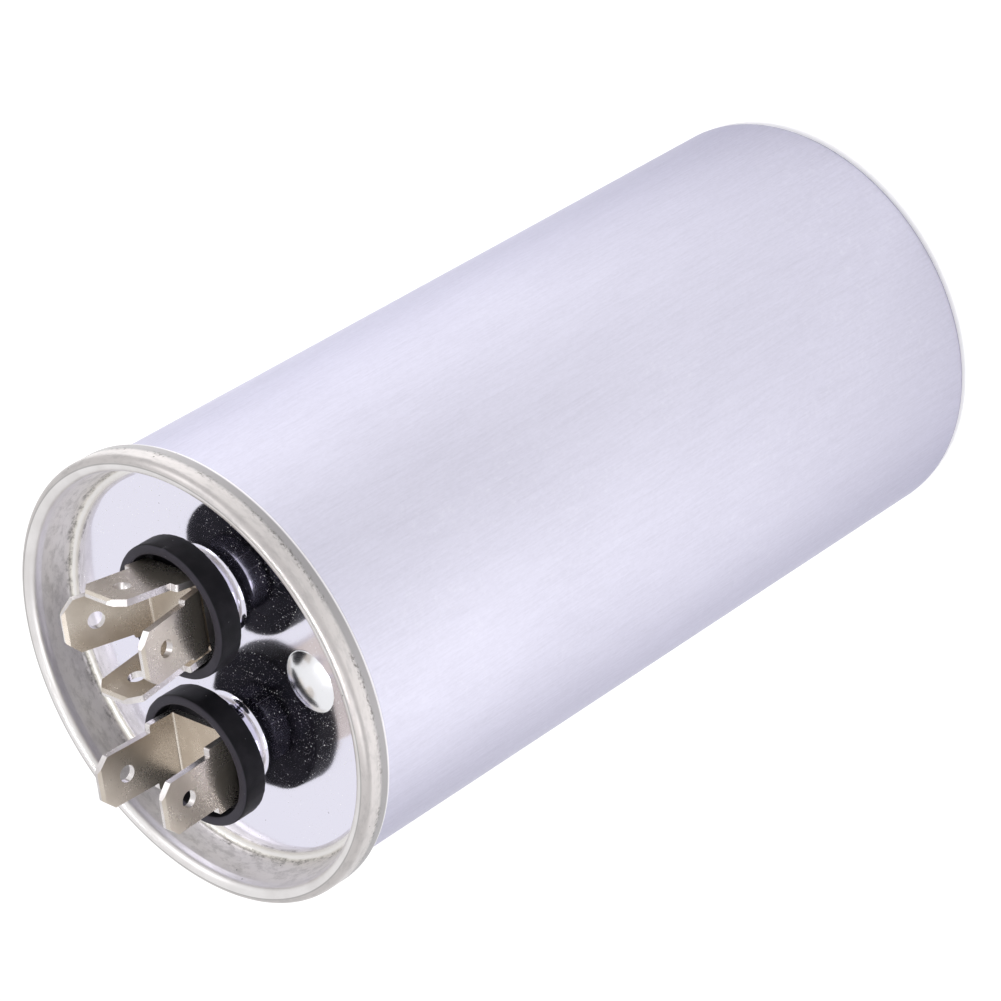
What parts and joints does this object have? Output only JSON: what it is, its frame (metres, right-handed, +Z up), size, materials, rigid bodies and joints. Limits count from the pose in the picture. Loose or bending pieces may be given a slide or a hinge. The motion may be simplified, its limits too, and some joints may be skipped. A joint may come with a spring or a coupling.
{
  "type": "motor run capacitor",
  "caption": "Round metal-can motor run capacitor with a flat bottom, a double-seamed lid and insulated terminals with folded quick-connect blades.",
  "frame": {"origin": "centre of the can's flat bottom, where it stands", "axes": "+Z up along the can's axis; the two terminals lie on the X axis, the four-blade one on the +X side; the filling hole's domed seal is on the -Y side"},
  "size_m": [0.0532, 0.0532, 0.1141],
  "materials": {
    "can_aluminium": "satin, fine lines along the can",
    "lid_tinplate": "bright panel, satin rim",
    "sealing_compound": "matt",
    "solder": "polished",
    "black_plastic": "fine matt moulding",
    "tinned_steel": "satin tin plate",
    "bush_rubber": "matt",
    "pressboard": "matt card",
    "lead_strip": "tinned strip",
    "film_roll": "wound film, slightly glossy",
    "pale_plastic": "plain moulding",
    "sprayed_zinc": "rough sprayed metal"
  },
  "bodies": {
    "root": {"can": "can_aluminium", "lid": "lid_tinplate", "seam_compound": "sealing_compound", "fill_seal": "solder", "cup_four_way": "black_plastic", "cup_two_way": "black_plastic", "bracket_lower": "tinned_steel", "bracket_upper": "tinned_steel", "bracket_two_way": "tinned_steel", "stud_four_way": "tinned_steel", "stud_two_way": "tinned_steel", "grommet_four_way": "bush_rubber", "grommet_two_way": "bush_rubber", "washer_four_way": "pressboard", "washer_two_way": "pressboard", "lug_four_way": "tinned_steel", "lug_two_way": "tinned_steel", "lead_top": "lead_strip", "lead_bottom": "lead_strip", "top_disc": "pressboard", "winding": "film_roll", "core_tube": "pale_plastic", "end_spray_top": "sprayed_zinc", "end_spray_bottom": "sprayed_zinc", "liner_sleeve": "pressboard", "bottom_cup": "pale_plastic"}
  },
  "joints": []
}
